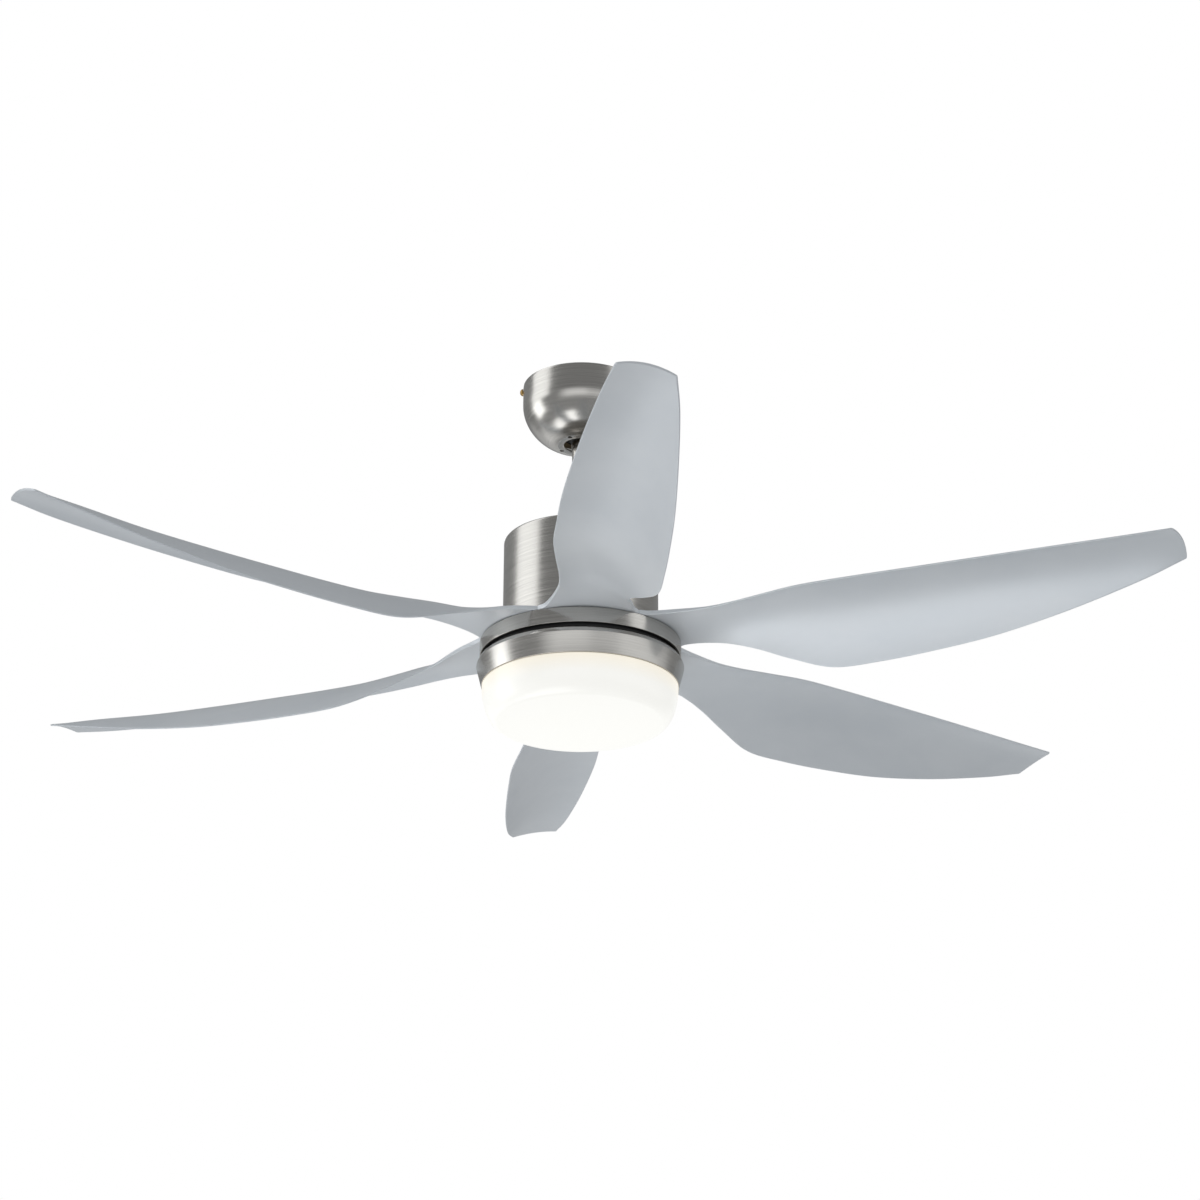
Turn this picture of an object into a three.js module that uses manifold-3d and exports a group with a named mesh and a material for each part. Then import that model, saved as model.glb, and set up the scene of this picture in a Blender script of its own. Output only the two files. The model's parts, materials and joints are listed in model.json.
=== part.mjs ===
// Six-blade ceiling fan with an opal drum light, hung on a short downrod from a ball hanger.
// Millimetres, +Z up. The origin is the centre of the hanger bracket's top face, so the ceiling
// is the plane z = 0 and everything hangs below it. The rotor turns about the Z axis.
import * as THREE from 'three';
import { mergeVertices } from 'three/addons/utils/BufferGeometryUtils.js';
import Module from 'manifold-3d';

const wasm = await Module();
wasm.setup();

// ---------------------------------------------------------------- driving dimensions
const FIT_GAP = 0.3;              // clearance left between touching pieces
const SHEET = 1.5;                // thickness of drawn sheet-metal covers
const ROUND_SEGMENTS = 48;        // facets round the large covers
const MIDDLE_SEGMENTS = 32;       // facets round the hidden rotor and its neighbours
const SMALL_SEGMENTS = 24;        // facets round shafts, bearings and small discs
const SCREW_SEGMENTS = 10;

const CANOPY_RADIUS = 83;
const CANOPY_TOP = -1.6;
const CANOPY_WALL_BOTTOM = -30;
const CANOPY_BOTTOM = -91.7;
const CANOPY_FLAT_RADIUS = 32.7;
const CANOPY_HOLE_RADIUS = 25;

const BRACKET_THICKNESS = 2.5;
const BALL_RADIUS = 30;
const BALL_Z = -60;
const ROD_RADIUS = 13.35;         // 3/4 inch pipe, 26.7 mm outside
const ROD_BORE = 10.9;
const ROD_TOP = -34;
const ROD_BOTTOM = -246;
const ROD_CLEARANCE = 0.3;

const HOUSING_RADIUS = 106.7;
const HOUSING_TOP = -241.8;
const HOUSING_BOTTOM = -384;

const SHAFT_RADIUS = 10;
const SHAFT_BORE = 6.5;
const SHAFT_TOP = -254.3;
const SHAFT_BOTTOM = -428;

const BLADE_COUNT = 6;
const BLADE_START_ANGLE = -25.1;  // degrees from +X to the first blade's centre line
const BLADE_TIP_X = 837;
const ROOT_BOTTOM = -391.2;       // underside of the blades' flat root plates
const ROOT_THICKNESS = 6.4;
const ROOT_INNER_X = 46;
const BLADE_SCREW_RADII = [62, 94];

const TRIM_RADIUS = 137.8;        // turning ring under the blade roots
const TRIM_BOTTOM = -413;
const PAN_LIP_Z = -418.8;         // fixed light pan, just below the dark running gap
const PAN_RADIUS = 141.8;
const SHADE_RADIUS = 133.9;
const SHADE_TOP = -455.2;
const SHADE_BOTTOM = -509.2;

// Blade stations, in the blade's own frame: x runs outward from the fan's axis, y towards the
// trailing edge, z up from the underside of the flat root plate. Each row is
// [x, leading y, leading z, trailing y, trailing z, camber].
const BLADE_STATIONS = [
  [118, -67.8, 0, 67.8, 0, 0],
  [132, -58, 0.2, 60.5, -0.5, 1],
  [165, -50, 1, 53, -6, 4],
  [204, -46, 1, 44.5, -17, 10],
  [243, -49.5, 1.5, 47.5, -30, 16],
  [287, -57, 2, 56.5, -47.5, 20],
  [342, -64.5, 3, 68.5, -64, 22],
  [408, -65.5, 2.5, 69, -66, 22.5],
  [485, -65.5, 1, 67, -63.5, 23.5],
  [573, -61.5, 1, 63, -57, 22],
  [673, -54.5, 2, 55.5, -42, 17.5],
  [772, -44.5, 4, 46, -21.5, 12.5],
  [BLADE_TIP_X, -35, 7.5, 36, -5.5, 4.5],
];
const BLADE_ROWS_PER_SPAN = 2;
const BLADE_CHORD_STEPS = [0, 0.08, 0.28, 0.5, 0.72, 0.92, 1];
const BLADE_MID_THICKNESS = 3;
const BLADE_EDGE_THICKNESS = 2.2;
const ROOT_FADE_END_X = 250;      // where the thick root has thinned to the blade's own thickness
const TIP_CORNER = 2;             // how far each tip corner is drawn back
const TIP_BOW = 4.5;              // how far the middle of the tip stands out past its corners
const TIP_BOW_START_X = 740;

// ---------------------------------------------------------------- materials
function finish(color, roughness, metalness) {
  return new THREE.MeshStandardMaterial({ color, roughness, metalness });
}

const finishes = {
  nickel: finish(0xa9a7a3, 0.32, 1),
  zinc: finish(0xb9a476, 0.4, 1),
  steel: finish(0x8f9296, 0.35, 1),
  brass: finish(0x9c7b45, 0.35, 1),
  blade: finish(0xc3cdd4, 0.42, 0.1),
  blackPlastic: finish(0x121212, 0.5, 0),
  whitePlastic: finish(0xe8e8e4, 0.5, 0),
  castMetal: finish(0x84878a, 0.5, 0.9),
  laminations: finish(0x54575b, 0.5, 0.9),
  copper: finish(0xb4663a, 0.35, 1),
  ferrite: finish(0x3a3b3e, 0.7, 0.2),
  circuitBoard: finish(0x2d6a45, 0.5, 0),
  aluminium: finish(0xd6d8d9, 0.4, 1),
  opalGlass: finish(0xfff8ea, 0.25, 0),
  wire: finish(0x26282b, 0.6, 0),
};

// ---------------------------------------------------------------- geometry helpers
/** Six times the signed volume of an indexed geometry: negative when its faces point inwards. */
function signedVolume(positions, triangles) {
  const a = new THREE.Vector3();
  const b = new THREE.Vector3();
  const c = new THREE.Vector3();
  let total = 0;
  for (let i = 0; i < triangles.length; i += 3) {
    a.fromArray(positions, triangles[i] * 3);
    b.fromArray(positions, triangles[i + 1] * 3);
    c.fromArray(positions, triangles[i + 2] * 3);
    total += a.dot(b.cross(c));
  }
  return total;
}

/** Welds a closed geometry's vertices and turns it into a solid that can be joined and cut. */
function solid(geometry) {
  const welded = geometry.clone();
  welded.deleteAttribute('normal');
  welded.deleteAttribute('uv');
  const merged = mergeVertices(welded, 1e-4);
  const positions = merged.attributes.position.array;
  const index = merged.index.array;
  let triangles = [];
  for (let i = 0; i < index.length; i += 3) {
    const [a, b, c] = [index[i], index[i + 1], index[i + 2]];
    if (a !== b && b !== c && c !== a) triangles.push(a, b, c);
  }
  if (signedVolume(positions, triangles) < 0) triangles = triangles.reverse();
  return new wasm.Manifold(new wasm.Mesh({
    numProp: 3,
    vertProperties: new Float32Array(positions),
    triVerts: new Uint32Array(triangles),
  }));
}

/** Turns a solid back into a geometry. */
function geometryOf(body) {
  const mesh = body.getMesh();
  const geometry = new THREE.BufferGeometry();
  geometry.setAttribute('position', new THREE.BufferAttribute(new Float32Array(mesh.vertProperties), 3));
  geometry.setIndex(new THREE.BufferAttribute(new Uint32Array(mesh.triVerts), 1));
  geometry.computeVertexNormals();
  return geometry;
}

/** Swings a closed outline of [radius, z] points once round the Z axis. */
function turned(outline, segments = ROUND_SEGMENTS) {
  const points = outline.map(([radius, z]) => new THREE.Vector2(radius, z));
  points.push(points[0].clone());
  return solid(new THREE.LatheGeometry(points, segments).rotateX(Math.PI / 2));
}

/** A ring or tube between two radii and two heights. */
function tube(inner, outer, low, high, segments = SMALL_SEGMENTS) {
  return turned([[inner, low], [outer, low], [outer, high], [inner, high]], segments);
}

/** A cylinder along Z. */
function rod(radius, low, high, x = 0, y = 0, segments = SCREW_SEGMENTS) {
  const geometry = new THREE.CylinderGeometry(radius, radius, high - low, segments);
  return solid(geometry.rotateX(Math.PI / 2).translate(x, y, (low + high) / 2));
}

/** A cylinder along X. */
function crossRod(radius, low, high, z, segments = SCREW_SEGMENTS) {
  const geometry = new THREE.CylinderGeometry(radius, radius, high - low, segments);
  return solid(geometry.rotateZ(Math.PI / 2).translate((low + high) / 2, 0, z));
}

/** A box from its lowest corner to its highest corner. */
function box(low, high) {
  const size = high.map((value, axis) => value - low[axis]);
  const centre = high.map((value, axis) => (value + low[axis]) / 2);
  return solid(new THREE.BoxGeometry(...size).translate(...centre));
}

/** A flat shape's solid between two heights. */
function slab(shape, low, high, curveSegments = 3) {
  const settings = { depth: high - low, bevelEnabled: false, curveSegments };
  return solid(new THREE.ExtrudeGeometry(shape, settings).translate(0, 0, low));
}

/** A rectangle with rounded corners, centred on a point. */
function roundedRectangle(width, depth, radius, x = 0, y = 0) {
  const shape = new THREE.Shape();
  const left = x - width / 2;
  const right = x + width / 2;
  const front = y - depth / 2;
  const back = y + depth / 2;
  shape.moveTo(left + radius, front);
  shape.lineTo(right - radius, front);
  shape.absarc(right - radius, front + radius, radius, -Math.PI / 2, 0);
  shape.lineTo(right, back - radius);
  shape.absarc(right - radius, back - radius, radius, 0, Math.PI / 2);
  shape.lineTo(left + radius, back);
  shape.absarc(left + radius, back - radius, radius, Math.PI / 2, Math.PI);
  shape.lineTo(left, front + radius);
  shape.absarc(left + radius, front + radius, radius, Math.PI, 1.5 * Math.PI);
  return shape;
}

/** A slot along X with round ends, centred at a place on the X axis. */
function slotShape(length, radius, x) {
  const reach = length / 2 - radius;
  const shape = new THREE.Shape();
  shape.absarc(x + reach, 0, radius, -Math.PI / 2, Math.PI / 2);
  shape.absarc(x - reach, 0, radius, Math.PI / 2, 1.5 * Math.PI);
  return shape;
}

/** Quarter-turn steps from 0 to 90 degrees, for rounded profiles. */
function quarterSteps(count) {
  return Array.from({ length: count + 1 }, (_, step) => (step / count) * Math.PI / 2);
}

/** Where the count-th of several evenly spaced places on a circle lies. */
function onCircle(radius, place, count, startDegrees = 0) {
  const angle = THREE.MathUtils.degToRad(startDegrees + (place * 360) / count);
  return [radius * Math.cos(angle), radius * Math.sin(angle)];
}

/** A pan-head screw along Z: its head starts at headZ and its shank runs to tipZ. */
function screw(shankRadius, headRadius, headHeight, headZ, tipZ) {
  const towardsTip = Math.sign(tipZ - headZ);
  const crown = headZ - towardsTip * headHeight;
  return turned([
    [0, crown],
    [headRadius * 0.7, crown],
    [headRadius, headZ],
    [shankRadius, headZ],
    [shankRadius, tipZ],
    [0, tipZ],
  ], SCREW_SEGMENTS);
}

const fan = new THREE.Group();

/** Adds one named piece to the fan, or to a group inside it. */
function add(name, body, material, parent = fan) {
  const mesh = new THREE.Mesh(geometryOf(body), material);
  mesh.name = name;
  parent.add(mesh);
  return mesh;
}

// ---------------------------------------------------------------- ceiling hanger
const PLATE_LENGTH = 156;
const PLATE_WIDTH = 40;
const OUTLET_SLOT_X = 44.45;      // half of the 3-1/2 inch spacing of an outlet box's screws
const OUTLET_SLOT_LENGTH = 13;
const OUTLET_SLOT_RADIUS = 2.75;
const LEG_INNER_X = 32.5;
const LEG_WIDTH = 30;
const HOOP_RADIUS = 45;
const HOOP_TOP = BALL_Z - 13.8;
const SEAT_INNER_RADIUS = BALL_RADIUS + FIT_GAP;
const SEAT_OUTER_RADIUS = 32;
const ENTRY_SLOT_WIDTH = 28.5;    // the side opening that the downrod enters by
const EAR_OUTER_X = PLATE_LENGTH / 2;
const CANOPY_SCREW_Z = -9;

function ceilingBracket() {
  const half = BRACKET_THICKNESS / 2;
  const hoopBottom = HOOP_TOP - BRACKET_THICKNESS;
  const hoopHole = Math.sqrt(SEAT_OUTER_RADIUS ** 2 - (HOOP_TOP - BALL_Z) ** 2) + FIT_GAP;
  let bracket = slab(roundedRectangle(PLATE_LENGTH, PLATE_WIDTH, 6), -BRACKET_THICKNESS, 0);
  bracket = bracket.add(tube(hoopHole, HOOP_RADIUS, hoopBottom, HOOP_TOP));
  for (const side of [-1, 1]) {
    const legX = side * (LEG_INNER_X + half);
    const earX = side * (EAR_OUTER_X - half);
    const leg = box([legX - half, -LEG_WIDTH / 2, hoopBottom], [legX + half, LEG_WIDTH / 2, -half]);
    const ear = box([earX - half, -9, -17], [earX + half, 9, -half]);
    const slot = slab(slotShape(OUTLET_SLOT_LENGTH, OUTLET_SLOT_RADIUS, side * OUTLET_SLOT_X), -5, 2, 6);
    const screwHole = crossRod(2.3, earX - 5, earX + 5, CANOPY_SCREW_Z);
    bracket = bracket.add(leg).add(ear).subtract(slot).subtract(screwHole);
  }
  const entry = box(
    [-ENTRY_SLOT_WIDTH / 2, 0, hoopBottom - 1],
    [ENTRY_SLOT_WIDTH / 2, HOOP_RADIUS + 5, HOOP_TOP + 1],
  );
  return bracket.subtract(entry);
}

/** The rubber liner between the hoop and the ball, open at the side like the hoop. */
function ballSeat() {
  const outline = [];
  const tilts = [-0.3, -0.44, -0.58, -0.72];
  for (const tilt of tilts) {
    outline.push([SEAT_OUTER_RADIUS * Math.cos(tilt), BALL_Z + SEAT_OUTER_RADIUS * Math.sin(tilt)]);
  }
  for (const tilt of [...tilts].reverse()) {
    outline.push([SEAT_INNER_RADIUS * Math.cos(tilt), BALL_Z + SEAT_INNER_RADIUS * Math.sin(tilt)]);
  }
  const entry = box([-ENTRY_SLOT_WIDTH / 2, 0, BALL_Z - 40], [ENTRY_SLOT_WIDTH / 2, 50, BALL_Z + 10]);
  return turned(outline, SMALL_SEGMENTS).subtract(entry);
}

function canopy() {
  const domeHeight = CANOPY_WALL_BOTTOM - CANOPY_BOTTOM;
  const shoulder = CANOPY_RADIUS - CANOPY_FLAT_RADIUS;
  const outer = quarterSteps(7).map((angle) => [
    CANOPY_FLAT_RADIUS + shoulder * Math.cos(angle) ** (4 / 3),
    CANOPY_WALL_BOTTOM - domeHeight * Math.sin(angle),
  ]);
  const inner = quarterSteps(5).map((angle) => [
    CANOPY_FLAT_RADIUS + (shoulder - SHEET) * Math.cos(angle) ** (4 / 3),
    CANOPY_WALL_BOTTOM - (domeHeight - SHEET) * Math.sin(angle),
  ]).reverse();
  let shell = turned([
    [CANOPY_RADIUS, CANOPY_TOP],
    ...outer,
    [CANOPY_HOLE_RADIUS, CANOPY_BOTTOM],
    [CANOPY_HOLE_RADIUS, CANOPY_BOTTOM + SHEET],
    ...inner,
    [CANOPY_RADIUS - SHEET, CANOPY_TOP],
  ]);
  const wallStart = CANOPY_RADIUS - 6;
  const wallEnd = CANOPY_RADIUS + 3;
  shell = shell.subtract(crossRod(2.6, wallStart, wallEnd, CANOPY_SCREW_Z));
  shell = shell.subtract(crossRod(2.6, -wallEnd, -wallStart, CANOPY_SCREW_Z));
  for (let place = 0; place < 4; place += 1) {
    const [x, y] = onCircle(32.5, place, 4, 60);
    shell = shell.subtract(rod(3, CANOPY_BOTTOM - 5, CANOPY_BOTTOM + 12, x, y));
  }
  return shell;
}

add('ceiling_bracket', ceilingBracket(), finishes.zinc);
add('ball_seat', ballSeat(), finishes.blackPlastic);
add('canopy', canopy(), finishes.nickel);

for (const [name, side] of [['canopy_screw_left', -1], ['canopy_screw_right', 1]]) {
  const body = screw(2, 4.6, 3.4, CANOPY_RADIUS + FIT_GAP, CANOPY_RADIUS - 14);
  const mesh = add(name, body, finishes.brass);
  mesh.rotation.y = side * Math.PI / 2;
  mesh.position.set(0, 0, CANOPY_SCREW_Z);
}

const RECEIVER_TOP = -5;
const RECEIVER_HEIGHT = 19;
add('receiver_box', slab(roundedRectangle(56, 94, 4), RECEIVER_TOP - RECEIVER_HEIGHT, RECEIVER_TOP, 4),
  finishes.blackPlastic);

function terminalBlock() {
  let block = box([53, -15, -15], [67, 15, -BRACKET_THICKNESS - FIT_GAP]);
  for (const y of [-10, 0, 10]) block = block.subtract(rod(2, -20, -9, 60, y));
  return block;
}
add('terminal_block', terminalBlock(), finishes.whitePlastic);

// ---------------------------------------------------------------- ball, downrod and coupling
const BALL_FLAT_TOP = -40;
const BALL_FLAT_BOTTOM = -85.5;
const BALL_PIN_Z = -45;
const BALL_PIN_RADIUS = 3;
const YOKE_TOP = -214;
const YOKE_RADIUS = 19.5;
const HITCH_PIN_Z = -228;
const HITCH_PIN_RADIUS = 3.4;
const FLANGE_RADIUS = 48;
const FLANGE_TOP = HOUSING_TOP - SHEET - FIT_GAP;
const FLANGE_SCREW_RADIUS = 38;

function hangerBall() {
  const bore = ROD_RADIUS + ROD_CLEARANCE;
  const outline = [[bore, BALL_FLAT_BOTTOM]];
  const low = Math.asin((BALL_FLAT_BOTTOM - BALL_Z) / BALL_RADIUS);
  const high = Math.asin((BALL_FLAT_TOP - BALL_Z) / BALL_RADIUS);
  for (let step = 0; step <= 7; step += 1) {
    const angle = low + ((high - low) * step) / 7;
    outline.push([BALL_RADIUS * Math.cos(angle), BALL_Z + BALL_RADIUS * Math.sin(angle)]);
  }
  outline.push([bore, BALL_FLAT_TOP]);
  const pinSlot = box([-40, -BALL_PIN_RADIUS - 0.4, BALL_PIN_Z - BALL_PIN_RADIUS - 0.4], [40, 3.4, -30]);
  return turned(outline, SMALL_SEGMENTS).subtract(pinSlot);
}

function downrod() {
  return tube(ROD_BORE, ROD_RADIUS, ROD_BOTTOM, ROD_TOP)
    .subtract(crossRod(BALL_PIN_RADIUS + FIT_GAP, -20, 20, BALL_PIN_Z))
    .subtract(crossRod(HITCH_PIN_RADIUS + FIT_GAP, -20, 20, HITCH_PIN_Z));
}

/** The cast coupling: it clamps the rod above, and carries the housing and the motor shaft below. */
function coupling() {
  const bore = ROD_RADIUS + ROD_CLEARANCE;
  const socket = SHAFT_RADIUS + FIT_GAP;
  const flangeBottom = FLANGE_TOP - 5;
  let yoke = turned([
    [YOKE_RADIUS, YOKE_TOP],
    [YOKE_RADIUS, FLANGE_TOP],
    [FLANGE_RADIUS, FLANGE_TOP],
    [FLANGE_RADIUS, flangeBottom],
    [YOKE_RADIUS + 2, flangeBottom],
    [YOKE_RADIUS - 2, -272],
    [socket, -272],
    [socket, SHAFT_TOP + FIT_GAP],
    [SHAFT_BORE, SHAFT_TOP + FIT_GAP],
    [SHAFT_BORE, ROD_BOTTOM - FIT_GAP],
    [bore, ROD_BOTTOM - FIT_GAP],
    [bore, YOKE_TOP],
  ], SMALL_SEGMENTS);
  yoke = yoke.subtract(crossRod(HITCH_PIN_RADIUS + FIT_GAP, -30, 30, HITCH_PIN_Z));
  yoke = yoke.subtract(solid(new THREE.CylinderGeometry(2.8, 2.8, 12, SCREW_SEGMENTS)
    .translate(0, -YOKE_RADIUS, 0)
    .translate(0, 0, YOKE_TOP - 6)));
  for (let place = 0; place < 3; place += 1) {
    const [x, y] = onCircle(FLANGE_SCREW_RADIUS, place, 3, 90);
    yoke = yoke.subtract(rod(2.4, flangeBottom - 1, FLANGE_TOP + 1, x, y));
  }
  return yoke;
}

add('hanger_ball', hangerBall(), finishes.blackPlastic);
add('ball_pin', crossRod(BALL_PIN_RADIUS, -19, 19, BALL_PIN_Z), finishes.steel);
add('downrod', downrod(), finishes.nickel);
add('coupling_yoke', coupling(), finishes.castMetal);

const hitchPin = crossRod(HITCH_PIN_RADIUS, -23.5, 26, HITCH_PIN_Z)
  .add(crossRod(5.4, -26, -23.5, HITCH_PIN_Z))
  .subtract(rod(1.1, HITCH_PIN_Z - 6, HITCH_PIN_Z + 6, 22.6, 0, 8));
add('hitch_pin', hitchPin, finishes.steel);

const setScrew = add('rod_set_screw', screw(2.4, 4.4, 3, YOKE_RADIUS + FIT_GAP, ROD_RADIUS + FIT_GAP),
  finishes.steel);
setScrew.rotation.x = Math.PI / 2;
setScrew.position.set(0, 0, YOKE_TOP - 6);

/** The conical cap that hides the coupling. */
function couplingCover() {
  const inner = ROD_RADIUS + 0.6;
  const bottom = HOUSING_TOP + FIT_GAP;
  return turned([
    [44, bottom],
    [42, bottom + 8],
    [34, bottom + 22],
    [22, bottom + 33],
    [inner, bottom + 36],
    [inner, bottom + 34.2],
    [20, bottom + 31.6],
    [32.6, bottom + 20.4],
    [40.4, bottom + 7.4],
    [42.4, bottom],
  ], SMALL_SEGMENTS);
}
add('coupling_cover', couplingCover(), finishes.nickel);

// ---------------------------------------------------------------- motor housing and fixed core
function motorHousing() {
  const edge = 4;
  const inner = HOUSING_RADIUS - SHEET;
  let shell = turned([
    [YOKE_RADIUS + 1, HOUSING_TOP],
    [HOUSING_RADIUS - edge, HOUSING_TOP],
    [HOUSING_RADIUS - edge * 0.3, HOUSING_TOP - edge * 0.3],
    [HOUSING_RADIUS, HOUSING_TOP - edge],
    [HOUSING_RADIUS, HOUSING_BOTTOM],
    [inner, HOUSING_BOTTOM],
    [inner, HOUSING_TOP - edge],
    [inner - 1.5, HOUSING_TOP - SHEET],
    [YOKE_RADIUS + 1, HOUSING_TOP - SHEET],
  ]);
  for (let place = 0; place < 3; place += 1) {
    const [x, y] = onCircle(FLANGE_SCREW_RADIUS, place, 3, 90);
    shell = shell.subtract(rod(2.6, HOUSING_TOP - 5, HOUSING_TOP + 2, x, y));
  }
  return shell;
}
add('motor_housing', motorHousing(), finishes.nickel);

for (let place = 0; place < 3; place += 1) {
  const [x, y] = onCircle(FLANGE_SCREW_RADIUS, place, 3, 90);
  const body = screw(2.1, 3.9, 2.4, HOUSING_TOP + FIT_GAP, HOUSING_TOP - 10);
  add(`housing_screw_${place + 1}`, body, finishes.steel).position.set(x, y, 0);
}

const BEARING_OUTER = 17.5;
const BEARING_HEIGHT = 11;
const CAN_TOP = -328;
const CAN_RADIUS = 95;
const BASE_TOP = -378;
const BASE_BOTTOM = ROOT_BOTTOM + ROOT_THICKNESS + FIT_GAP;
const BASE_RADIUS = 102;
const HUB_RADIUS = 22;
const UPPER_BEARING_TOP = CAN_TOP - 4;
const LOWER_BEARING_BOTTOM = BASE_BOTTOM + 1;
const STATOR_TOP = -350;
const STATOR_BOTTOM = -368;
const STATOR_RADIUS = 83;

add('motor_shaft', tube(SHAFT_BORE, SHAFT_RADIUS, SHAFT_BOTTOM, SHAFT_TOP), finishes.steel);

/** The control board on its round tray, above the rotor. */
function motorController() {
  const trayTop = -302;
  let board = tube(SHAFT_RADIUS + FIT_GAP, 82, trayTop - 2, trayTop, 32);
  board = board.add(box([24, -18, trayTop - 1], [60, 14, trayTop + 16]));
  board = board.add(box([-58, -24, trayTop - 1], [-30, 6, trayTop + 11]));
  board = board.add(rod(11, trayTop - 1, trayTop + 26, -20, 46, 16));
  return board;
}
add('motor_controller', motorController(), finishes.circuitBoard);

/** The stack of laminations: twelve wound poles on a disc that is pressed on the shaft. */
function statorCore() {
  const poles = 12;
  let core = tube(SHAFT_RADIUS + FIT_GAP, STATOR_RADIUS, STATOR_BOTTOM, STATOR_TOP, MIDDLE_SEGMENTS);
  for (let pole = 0; pole < poles; pole += 1) {
    const slot = new THREE.Shape();
    slot.moveTo(42, -3.5);
    slot.lineTo(76, -11);
    slot.lineTo(78, -2);
    slot.lineTo(90, -2);
    slot.lineTo(90, 2);
    slot.lineTo(78, 2);
    slot.lineTo(76, 11);
    slot.lineTo(42, 3.5);
    const settings = { depth: 30, bevelEnabled: false };
    const cutter = new THREE.ExtrudeGeometry(slot, settings).translate(0, 0, STATOR_BOTTOM - 5);
    core = core.subtract(solid(cutter.rotateZ((pole / poles) * 2 * Math.PI)));
  }
  return core;
}
add('stator_core', statorCore(), finishes.laminations);

function windingCrown(low, high) {
  return turned([[44, low], [72, low], [74, (low + high) / 2], [70, high], [46, high]], SMALL_SEGMENTS);
}
add('stator_winding_upper', windingCrown(STATOR_TOP + FIT_GAP, STATOR_TOP + 9), finishes.copper);
add('stator_winding_lower', windingCrown(STATOR_BOTTOM - 7, STATOR_BOTTOM - FIT_GAP), finishes.copper);

// ---------------------------------------------------------------- rotor
function bearing(low) {
  const inner = SHAFT_RADIUS + FIT_GAP;
  const high = low + BEARING_HEIGHT;
  return turned([
    [inner, low], [BEARING_OUTER - 0.6, low], [BEARING_OUTER, low + 0.6],
    [BEARING_OUTER, high - 0.6], [BEARING_OUTER - 0.6, high], [inner, high],
  ], SMALL_SEGMENTS);
}
add('upper_bearing', bearing(UPPER_BEARING_TOP - BEARING_HEIGHT), finishes.steel);
add('lower_bearing', bearing(LOWER_BEARING_BOTTOM), finishes.steel);

const BEARING_SEAT = BEARING_OUTER + FIT_GAP;

function rotorCan() {
  const wallBottom = BASE_TOP + FIT_GAP;
  const lidBottom = CAN_TOP - 3;
  const hubBottom = UPPER_BEARING_TOP - BEARING_HEIGHT - 0.5;
  let can = turned([
    [SHAFT_RADIUS + 1.5, CAN_TOP],
    [CAN_RADIUS - 3, CAN_TOP],
    [CAN_RADIUS, CAN_TOP - 3],
    [CAN_RADIUS, wallBottom],
    [CAN_RADIUS - 3, wallBottom],
    [CAN_RADIUS - 3, lidBottom],
    [HUB_RADIUS, lidBottom],
    [HUB_RADIUS, hubBottom],
    [BEARING_SEAT, hubBottom],
    [BEARING_SEAT, UPPER_BEARING_TOP + FIT_GAP],
    [SHAFT_RADIUS + 1.5, UPPER_BEARING_TOP + FIT_GAP],
  ], MIDDLE_SEGMENTS);
  for (let place = 0; place < 6; place += 1) {
    const [x, y] = onCircle(56, place, 6);
    can = can.subtract(rod(7, CAN_TOP - 8, CAN_TOP + 4, x, y));
  }
  return can;
}

/** The rotor's thick lower plate: the blades and the trim ring hang from its screw holes. */
function rotorBase() {
  const hubTop = LOWER_BEARING_BOTTOM + BEARING_HEIGHT + 0.5;
  let base = turned([
    [SHAFT_RADIUS + 1.5, BASE_BOTTOM],
    [BASE_RADIUS, BASE_BOTTOM],
    [BASE_RADIUS, BASE_TOP],
    [HUB_RADIUS, BASE_TOP],
    [HUB_RADIUS, hubTop],
    [BEARING_SEAT, hubTop],
    [BEARING_SEAT, LOWER_BEARING_BOTTOM - FIT_GAP],
    [SHAFT_RADIUS + 1.5, LOWER_BEARING_BOTTOM - FIT_GAP],
  ], MIDDLE_SEGMENTS);
  for (const radius of BLADE_SCREW_RADII) {
    for (let place = 0; place < BLADE_COUNT; place += 1) {
      const [x, y] = onCircle(radius, place, BLADE_COUNT, BLADE_START_ANGLE);
      base = base.subtract(rod(2.8, BASE_BOTTOM - 1, BASE_TOP + 1, x, y));
    }
  }
  return base;
}

add('rotor_can', rotorCan(), finishes.aluminium);
add('rotor_base', rotorBase(), finishes.aluminium);
add('magnet_ring', tube(STATOR_RADIUS + 1, CAN_RADIUS - 3 - FIT_GAP, -377, -338, MIDDLE_SEGMENTS),
  finishes.ferrite);

// ---------------------------------------------------------------- blades
/** The blade's leading and trailing edges as smooth curves, and its camber along the same steps. */
const leadingEdge = new THREE.CatmullRomCurve3(
  BLADE_STATIONS.map(([x, y, z]) => new THREE.Vector3(x, y, z)), false, 'catmullrom', 0.5);
const trailingEdge = new THREE.CatmullRomCurve3(
  BLADE_STATIONS.map(([x, , , y, z]) => new THREE.Vector3(x, y, z)), false, 'catmullrom', 0.5);
const camberCurve = new THREE.CatmullRomCurve3(
  BLADE_STATIONS.map((row) => new THREE.Vector3(row[0], row[5], 0)), false, 'catmullrom', 0.5);

/** How thick the blade is at a place along its length and across its chord. */
function bladeThickness(x, chord) {
  const crown = 1 - (2 * chord - 1) ** 2;
  const blade = BLADE_EDGE_THICKNESS + (BLADE_MID_THICKNESS - BLADE_EDGE_THICKNESS) * crown;
  const start = BLADE_STATIONS[0][0];
  const fade = THREE.MathUtils.smoothstep(x, start, ROOT_FADE_END_X);
  return THREE.MathUtils.lerp(ROOT_THICKNESS, blade, fade);
}

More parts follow.
